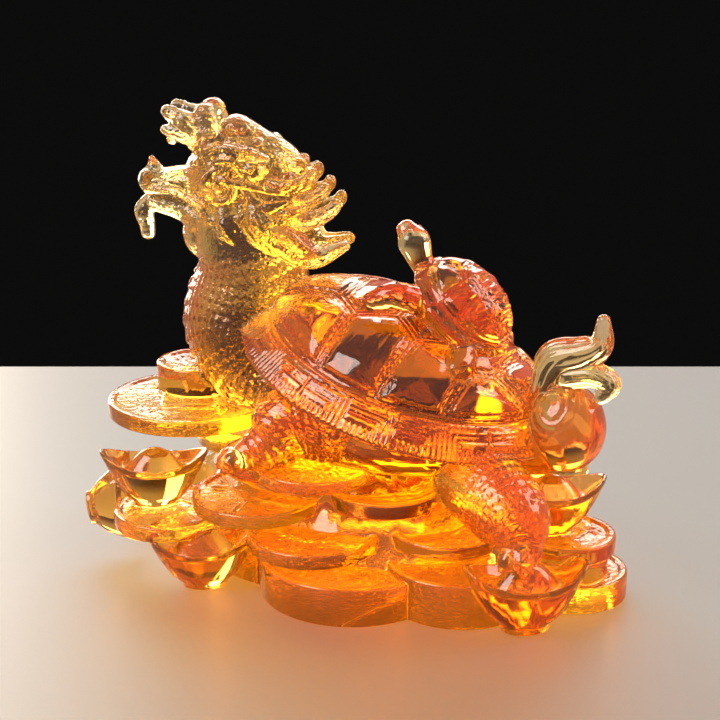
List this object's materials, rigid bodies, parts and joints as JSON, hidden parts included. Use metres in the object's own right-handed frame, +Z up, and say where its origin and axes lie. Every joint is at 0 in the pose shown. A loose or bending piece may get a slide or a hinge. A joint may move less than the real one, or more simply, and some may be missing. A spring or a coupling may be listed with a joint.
{
  "type": "dragon turtle figure",
  "caption": "Clear amber cast glass ornament: a turtle with a dragon's head carries its young on its shell and climbs a heap of round coins and boat-shaped ingots.",
  "frame": {"origin": "middle of the flat underside of the heap", "axes": "+X from the head to the tail, +Y to the turtle's right, +Z up; the head faces -X"},
  "size_m": [0.1214, 0.069, 0.1043],
  "materials": {
    "amber_glass": "polished cast glass"
  },
  "bodies": {
    "root": {"dragon_turtle": "amber_glass"}
  },
  "joints": []
}
